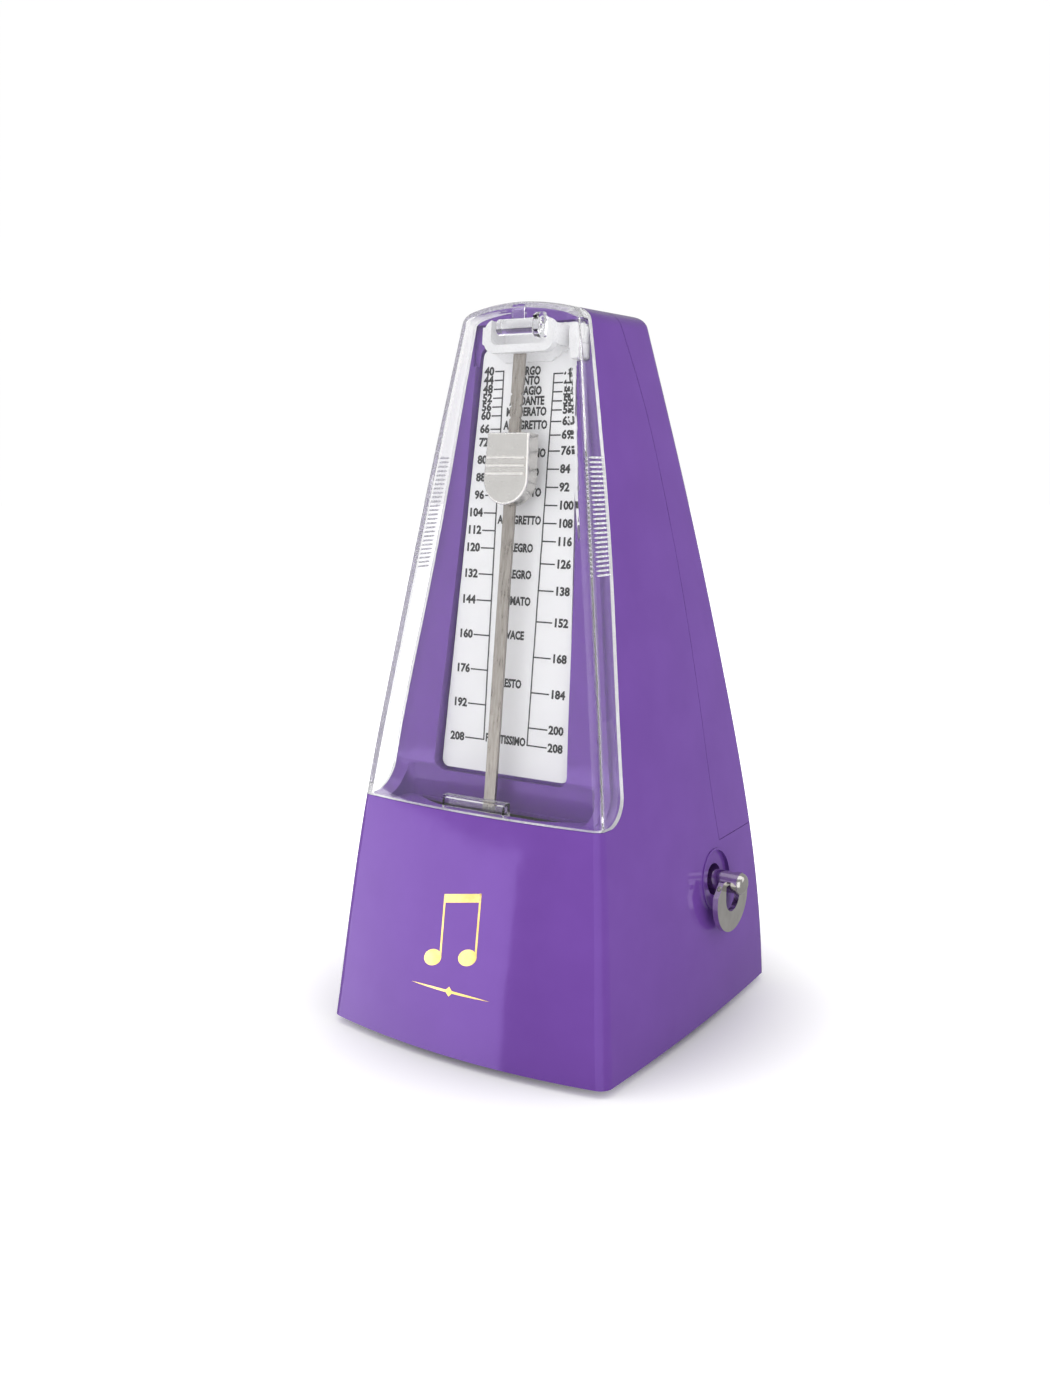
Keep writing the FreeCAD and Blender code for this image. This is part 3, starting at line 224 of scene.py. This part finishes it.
def dull(name, dark, light, roughness, scale=700, height=0.01 * MM):
    """Rubber, black moulding or print: dark, matt and slightly uneven."""
    made = new_material(name)
    tint(made, noise(made, scale, 4), dark, light)
    vary(made, "Roughness", noise(made, scale * 2, 2), roughness - 0.08, roughness + 0.08)
    bump(made, noise(made, scale * 2.5, 2), height)
    return made


UPRIGHT_GRAIN = (1, 1, 0.03)
MATERIALS = {
    "case_purple": purple_plastic(),
    "cover_clear": clear_plastic(),
    "dial_white": white_plastic("dial_white_plastic", (0.89, 0.89, 0.9), 0.42),
    "catch_white": white_plastic("catch_white_plastic", (0.84, 0.84, 0.85), 0.3),
    "base_black": dull("base_black_plastic", (0.012, 0.012, 0.013), (0.02, 0.02, 0.022), 0.5),
    "foot_rubber": dull("foot_black_rubber", (0.015, 0.015, 0.015),
                        (0.03, 0.029, 0.028), 0.8, 1200, 0.03 * MM),
    "screw_steel": cast_metal("screw_zinc_plated_steel", (0.44, 0.44, 0.43), (0.62, 0.62, 0.6), 0.32),
    "rod_steel": brushed_metal("rod_drawn_steel", (0.27, 0.245, 0.22),
                               (0.42, 0.39, 0.355), 0.33, UPRIGHT_GRAIN),
    "weight_nickel": cast_metal("weight_satin_nickel", (0.62, 0.605, 0.58),
                                (0.66, 0.645, 0.62), 0.22, 0.001 * MM),
    "bob_iron": cast_metal("bob_cast_iron", (0.13, 0.13, 0.13), (0.24, 0.235, 0.23), 0.5, 0.03 * MM),
    "key_nickel": cast_metal("key_bright_nickel", (0.62, 0.6, 0.57), (0.72, 0.7, 0.67), 0.14, 0.002 * MM),
    "arbor_steel": brushed_metal("arbor_turned_steel", (0.5, 0.5, 0.49),
                                 (0.66, 0.66, 0.65), 0.28, (0.03, 1, 1)),
    "spring_steel": brushed_metal("spring_blued_steel", (0.06, 0.075, 0.13),
                                  (0.12, 0.14, 0.22), 0.3, (1, 0.05, 1)),
    "brass": brushed_metal("movement_brass", (0.66, 0.45, 0.16), (0.8, 0.58, 0.25), 0.3, (0.05, 1, 1)),
    "frame_steel": brushed_metal("frame_zinc_plated_sheet", (0.5, 0.5, 0.47),
                                 (0.63, 0.63, 0.6), 0.36, (1, 0.05, 1)),
}
# On the grip ribs this is their moulded grain; on the cover's rim faces its whitish tone is a painted
# reflection of the bright edges.
FROSTED_GRAIN_AND_RIM_REFLECTION = frosted_plastic()
PRINT_BLACK = dull("dial_print_black", (0.008, 0.008, 0.009), (0.02, 0.02, 0.021), 0.5, 1500, 0.002 * MM)
GOLD_FOIL = cast_metal("gold_foil", (0.78, 0.52, 0.16), (0.95, 0.7, 0.3), 0.3, 0.003 * MM)


def dress_frame():
    """Gives every CAD node the material of its slot in the record."""
    slots = {part["node"]: part["material_slot"] for part in frame["record"]["subparts"]}
    for node, piece in frame["nodes"].items():
        piece.data.materials.clear()
        piece.data.materials.append(MATERIALS[slots[node]])


def frost_cover_rim():
    """The clear cover's narrow edges, where it meets the case, get the frosted acrylic: a fine grain, and a
    whitish tone that is a painted reflection standing in for the bright light along the cover's edges.
    """
    cover, case = frame["nodes"]["clear_cover"].data, surface_of("main_case")
    cover.materials.append(FROSTED_GRAIN_AND_RIM_REFLECTION)
    for face in cover.polygons:
        middle, normal = Vector(face.center), Vector(face.normal)
        facing = case.ray_cast(middle + normal * RIM_START, normal, RIM_REACH)
        if facing[0] is not None:
            # Painted reflection: these edge faces turn whitish in place of the bright reflections along the
            # cover's edges.
            face.material_index = 1


# ---- building pieces ----
def add_piece(name, mesh, body, finish):
    """Puts a mesh that is already in place into the scene, riding on a body."""
    mesh.materials.clear()
    mesh.materials.append(finish)
    piece = bpy.data.objects.new(name, mesh)
    bpy.context.scene.collection.objects.link(piece)
    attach(piece, body)
    return piece


def mesh_from(name, shape):
    mesh = bpy.data.meshes.new(name)
    bmesh.ops.recalc_face_normals(shape, faces=shape.faces)
    shape.to_mesh(mesh)
    shape.free()
    return mesh


def grid_patch(shape, place, across, along):
    """A patch of quads whose corners are place(u, v), for u and v from 0 to 1."""
    rows = [[shape.verts.new(place(i / across, j / along)) for j in range(along + 1)]
            for i in range(across + 1)]
    for i in range(across):
        for j in range(along):
            shape.faces.new((rows[i][j], rows[i + 1][j], rows[i + 1][j + 1], rows[i][j + 1]))


def surface_of(node):
    mesh = frame["nodes"][node].data
    return BVHTree.FromPolygons([v.co for v in mesh.vertices], [p.vertices for p in mesh.polygons])


def blend(low, high, share):
    return low + (high - low) * share


# ---- dial print ----
dial_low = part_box("dial_plate")[0]
DIAL_FOOT = Vector((0, dial_low.y, dial_low.z + DIAL_THICKNESS * math.sin(DIAL_LEAN)))
DIAL_UP = Vector((0, math.sin(DIAL_LEAN), math.cos(DIAL_LEAN)))
DIAL_OUT = X.cross(DIAL_UP)


def on_dial(across, up, out=0.0):
    """The place of a point given across and up the dial's face."""
    return DIAL_FOOT + X * across + DIAL_UP * up + DIAL_OUT * (PRINT_RAISE + out)


def beat_height(beats):
    return SCALE_TOP - SCALE_PER_BEAT * beats


def scale_share(up):
    """0 at the scale's lower end and 1 at its upper end."""
    low, high = beat_height(LEFT_BEATS[-1]), beat_height(LEFT_BEATS[0])
    return (up - low) / (high - low)


def printed_bar(shape, start, end):
    """A printed line between two points on the dial."""
    along = Vector((end[0] - start[0], end[1] - start[1])).normalized() * (LINE_WIDTH / 2)
    side = Vector((-along.y, along.x))
    a, b = Vector(start) - along, Vector(end) + along
    ring = [a - side, b - side, b + side, a + side]
    lower = [shape.verts.new(on_dial(p.x, p.y)) for p in ring]
    upper = [shape.verts.new(on_dial(p.x, p.y, PRINT_THICKNESS)) for p in ring]
    shape.faces.new(lower)
    shape.faces.new(upper)
    for k in range(4):
        shape.faces.new((lower[k], lower[k - 1], upper[k - 1], upper[k]))


def dial_scale(side, beats):
    """One rail with its ticks; side is -1 on the left and 1 on the right."""
    shape = bmesh.new()
    rail_ends = []
    for count in beats:
        up = beat_height(count)
        rail = side * blend(RAIL_LOW, RAIL_HIGH, scale_share(up))
        outer = side * blend(TICK_LOW, TICK_HIGH, scale_share(up))
        printed_bar(shape, (rail, up), (outer, up))
        rail_ends.append((rail, up))
    printed_bar(shape, rail_ends[0], rail_ends[-1])
    return shape


def lettering(text, height, squeeze, align):
    """A mesh of one printed word or number in the plane z = 0."""
    font = bpy.data.curves.new("lettering", "FONT")
    font.body = text
    font.size = height / CAP_SHARE
    font.align_x = align
    font.align_y = "CENTER"
    font.offset = height * LETTER_BOLDNESS
    font.extrude = PRINT_THICKNESS / 2
    font.resolution_u = 2
    holder = bpy.data.objects.new("lettering", font)
    mesh = bpy.data.meshes.new_from_object(holder)
    bpy.data.objects.remove(holder)
    mesh.transform(Matrix.Diagonal((squeeze, 1, 1, 1)))
    return mesh


def print_texts(items):
    """Joins printed texts, each (text, height, squeeze, align, across, up), into one shape on the dial."""
    shape = bmesh.new()
    for text, height, squeeze, align, across, up in items:
        mesh = lettering(text, height, squeeze, align)
        turn = Matrix((X, DIAL_UP, DIAL_OUT)).transposed().to_4x4()
        mesh.transform(Matrix.Translation(on_dial(across, up, PRINT_THICKNESS / 2)) @ turn)
        shape.from_mesh(mesh)
        bpy.data.meshes.remove(mesh)
    return shape


def numbers(side, beats):
    align = "RIGHT" if side < 0 else "LEFT"
    items = []
    for count in beats:
        up = beat_height(count)
        across = side * (blend(TICK_LOW, TICK_HIGH, scale_share(up)) + NUMBER_GAP)
        items.append((str(count), NUMBER_HEIGHT, NUMBER_SQUEEZE, align, across, up))
    return print_texts(items)


def words():
    return print_texts([(word, WORD_HEIGHT, WORD_SQUEEZE, "CENTER", 0.0, beat_height(beats))
                        for word, beats in TEMPO_WORDS])


def print_dial():
    prints = {
        "dial_scale_left": dial_scale(-1, LEFT_BEATS),
        "dial_scale_right": dial_scale(1, RIGHT_BEATS),
        "dial_numbers_left": numbers(-1, LEFT_BEATS),
        "dial_numbers_right": numbers(1, RIGHT_BEATS),
        "dial_tempo_words": words(),
    }
    for name, shape in prints.items():
        add_piece(name, mesh_from(name, shape), "case", PRINT_BLACK)


# ---- ornament: a beamed pair of notes over a rule, in gold foil ----
NOTE_HEADS = ((-7.2 * MM, 31.0 * MM), (5.8 * MM, 33.4 * MM))   # from the ornament's middle line
HEAD_LONG, HEAD_SHORT, HEAD_TILT = 3.5 * MM, 2.4 * MM, math.radians(24)
STEM_WIDTH, STEM_HEIGHT = 0.7 * MM, 19.0 * MM
BEAM_THICKNESS = 2.6 * MM
RULE_HALF, RULE_WIDTH, RULE_Z = 15.0 * MM, 0.75 * MM, 22.0 * MM
DIAMOND_HALF = 1.5 * MM
STEM_SIDE, STEM_FOOT = 0.93, 0.3           # where a stem leaves its head, as shares of its size


def ornament_patches():
    """Each patch of the ornament as a function of u and v, with its steps."""
    patches = []
    for x, z in NOTE_HEADS:
        def head(u, v, x=x, z=z):
            turn = 2 * math.pi * v
            a, b = HEAD_LONG * max(u, 0.02) * math.cos(turn), HEAD_SHORT * max(u, 0.02) * math.sin(turn)
            c, s = math.cos(HEAD_TILT), math.sin(HEAD_TILT)
            return x + a * c - b * s, z + a * s + b * c

        def stem(u, v, x=x, z=z):
            right = x + HEAD_LONG * STEM_SIDE
            return right - STEM_WIDTH * (1 - u), z + HEAD_SHORT * STEM_FOOT + STEM_HEIGHT * v

        patches += [(head, 3, 28), (stem, 1, 16)]

    def beam(u, v):
        (x0, z0), (x1, z1) = NOTE_HEADS
        left, right = x0 + HEAD_LONG * STEM_SIDE - STEM_WIDTH, x1 + HEAD_LONG * STEM_SIDE
        top = blend(z0, z1, u) + HEAD_SHORT * STEM_FOOT + STEM_HEIGHT
        return blend(left, right, u), top - BEAM_THICKNESS * v

    def rule(u, v):
        x = RULE_HALF * (2 * u - 1)
        return x, RULE_Z + RULE_WIDTH * (1 - abs(2 * u - 1) ** 2) * (v - 0.5)

    def diamond(u, v):
        half = DIAMOND_HALF
        return half * (2 * u - 1), RULE_Z + half * (1 - abs(2 * u - 1)) * (2 * v - 1)

    return patches + [(beam, 16, 2), (rule, 40, 1), (diamond, 6, 2)]


def gold_ornament():
    case = surface_of("main_case")
    shape = bmesh.new()

    def on_front(flat):
        x, z = flat
        hit, normal, _, _ = case.ray_cast(Vector((ORNAMENT_X + x, RAY_START_Y, z)), Y)
        return hit + normal * FOIL_RAISE

    for flat, across, along in ornament_patches():
        grid_patch(shape, lambda u, v: on_front(flat(u, v)), across, along)
    bmesh.ops.remove_doubles(shape, verts=shape.verts, dist=0.005 * MM)
    bmesh.ops.dissolve_degenerate(shape, dist=0.002 * MM, edges=shape.edges)
    piece = add_piece("front_ornament", mesh_from("front_ornament", shape), "case", GOLD_FOIL)
    leaf = piece.modifiers.new("foil", "SOLIDIFY")
    leaf.thickness = FOIL_THICKNESS
    leaf.offset = 0


# ---- grip ribs ----
def grip_ribs(side):
    """Fine level ribs on one side wall of the clear cover, beside its rear edge."""
    cover = surface_of("clear_cover")
    shape = bmesh.new()
    round_steps, long_steps = 8, 6
    for k in range(RIB_COUNT):
        share = k / (RIB_COUNT - 1)
        z = blend(RIB_LOW_Z, RIB_HIGH_Z, share)
        front, rear = (blend(RIB_LOW_Y[i], RIB_HIGH_Y[i], share) for i in (0, 1))
        rings = []
        for j in range(long_steps + 1):
            y = blend(front, rear, j / long_steps)
            hit, normal, _, _ = cover.ray_cast(Vector((side * RAY_START_X, y, z)), X * -side)
            up = Y.cross(normal).normalized()
            taper = 1.0 if 0 < j < long_steps else RIB_END_TAPER
            rings.append([
                shape.verts.new(hit + (normal * math.cos(a) + up * math.sin(a)) * RIB_RADIUS * taper)
                for a in (2 * math.pi * n / round_steps for n in range(round_steps))])
        for a, b in zip(rings, rings[1:]):
            for n in range(round_steps):
                shape.faces.new((a[n - 1], a[n], b[n], b[n - 1]))
        shape.faces.new(rings[0])
        shape.faces.new(rings[-1])
    name = "cover_grip_ribs_" + ("left" if side < 0 else "right")
    piece = add_piece(name, mesh_from(name, shape), "cover", FROSTED_GRAIN_AND_RIM_REFLECTION)
    piece.visible_shadow = False


# ---- stage, lights and camera ----
BACKDROP_RADIUS = 6.0
FLOOR_RADIUS = 5.5
FLOOR_GLOW_NEAR, FLOOR_GLOW_FAR = 0.0, 0.9
GLOW_START, GLOW_END = 0.05, 0.14   # metres from the middle of the floor
WORLD_STRENGTH = 0.38
LIGHT_DISTANCE = 1.5
LIGHT_TARGET = Vector((0, 0, 0.08))


def emission(made, colour, strength):
    shader = shader_of(made)
    shader.inputs["Emission Color"].default_value = (*colour, 1)
    shader.inputs["Emission Strength"].default_value = strength


def paper_glow(made):
    """The floor glows away from the object, so that the shadow stays tight and the backdrop joins unseen."""
    nodes, links = made.node_tree.nodes, made.node_tree.links
    where = nodes.new("ShaderNodeTexCoord")
    distance = nodes.new("ShaderNodeVectorMath")
    distance.operation = "LENGTH"
    glow = nodes.new("ShaderNodeMapRange")
    glow.inputs["From Min"].default_value = GLOW_START
    glow.inputs["From Max"].default_value = GLOW_END
    glow.inputs["To Min"].default_value = FLOOR_GLOW_NEAR
    glow.inputs["To Max"].default_value = FLOOR_GLOW_FAR
    shader = shader_of(made)
    shader.inputs["Emission Color"].default_value = (1, 1, 1, 1)
    links.new(where.outputs["Object"], distance.inputs[0])
    links.new(distance.outputs["Value"], glow.inputs["Value"])
    links.new(glow.outputs["Result"], shader.inputs["Emission Strength"])


def stage_piece(name, shape, finish):
    mesh = mesh_from(name, shape)
    mesh.materials.append(finish)
    piece = bpy.data.objects.new(name, mesh)
    bpy.context.scene.collection.objects.link(piece)
    return piece


def build_stage():
    """A white floor, and a white tent behind it that only the camera sees."""
    paper = new_material("floor_white_paper", Base_Color=(0.93, 0.93, 0.93, 1), Roughness=0.7)
    paper_glow(paper)
    shape = bmesh.new()
    bmesh.ops.create_circle(shape, cap_ends=True, segments=64, radius=FLOOR_RADIUS)
    floor = stage_piece("floor", shape, paper)
    floor.visible_glossy = False
    white = new_material("backdrop_white", Base_Color=(0, 0, 0, 1), Roughness=1.0)
    emission(white, (1, 1, 1), 1.0)
    shape = bmesh.new()
    bmesh.ops.create_icosphere(shape, subdivisions=4, radius=BACKDROP_RADIUS)
    tent = stage_piece("backdrop", shape, white)
    tent.visible_diffuse = False
    tent.visible_glossy = False
    tent.visible_shadow = False


def softbox(name, azimuths, elevations, strength, diffuse=True, glossy=True):
    """A rectangular soft light that fills a span of directions, in degrees, as the object sees it."""
    middle, rise = (math.radians(sum(span) / 2) for span in (azimuths, elevations))
    half_across, half_up = (math.radians(span[1] - span[0]) / 2 for span in (azimuths, elevations))
    light = bpy.data.lights.new(name, "AREA")
    light.shape = "RECTANGLE"
    light.size = 2 * LIGHT_DISTANCE * math.tan(half_across)
    light.size_y = 2 * LIGHT_DISTANCE * math.tan(half_up)
    light.energy = strength
    lamp = bpy.data.objects.new(name, light)
    bpy.context.scene.collection.objects.link(lamp)
    away = Vector((math.sin(middle) * math.cos(rise), -math.cos(middle) * math.cos(rise), math.sin(rise)))
    lamp.location = LIGHT_TARGET + away * LIGHT_DISTANCE
    lamp.rotation_euler = (-away).to_track_quat("-Z", "Y").to_euler()
    lamp.visible_camera = False
    lamp.visible_diffuse = diffuse
    lamp.visible_glossy = glossy
    lamp.visible_transmission = glossy


def build_lights():
    world = bpy.data.worlds.new("studio")
    bpy.context.scene.world = world
    world.use_nodes = True
    background = world.node_tree.nodes["Background"]
    background.inputs["Color"].default_value = (1, 1, 1, 1)
    background.inputs["Strength"].default_value = WORLD_STRENGTH
    softbox("key_left", (-66, -18), (-10, 52), 9.6, glossy=False)
    softbox("top", (-25, 65), (62, 106), 11)
    softbox("front_right", (38, 82), (-5, 45), 3, glossy=False)
    softbox("fill_right", (100, 130), (5, 45), 2.2)
    softbox("gloss_left", (-72, -23.5), (-30, -1), 8, diffuse=False)
    softbox("gloss_corner", (2, 58), (-25, 30), 7.5, diffuse=False)


def build_camera():
    data = bpy.data.cameras.new("camera")
    data.lens = CAMERA_LENS
    data.shift_x = CAMERA_SHIFT_X
    camera = bpy.data.objects.new("camera", data)
    bpy.context.scene.collection.objects.link(camera)
    back = Vector((math.sin(CAMERA_AZIMUTH) * math.cos(CAMERA_ELEVATION),
                   -math.cos(CAMERA_AZIMUTH) * math.cos(CAMERA_ELEVATION),
                   math.sin(CAMERA_ELEVATION)))
    camera.location = CAMERA_AIM + back * CAMERA_DISTANCE
    camera.rotation_euler = (-back).to_track_quat("-Z", "Y").to_euler()
    bpy.context.scene.camera = camera
    bpy.context.scene.view_settings.view_transform = "Standard"


dress_frame()
# Painted reflection: the clear cover's edge faces against the case are made whitish.
frost_cover_rim()
frame["nodes"]["clear_cover"].visible_shadow = False
print_dial()
gold_ornament()
grip_ribs(-1)
grip_ribs(1)
build_stage()
build_lights()
build_camera()
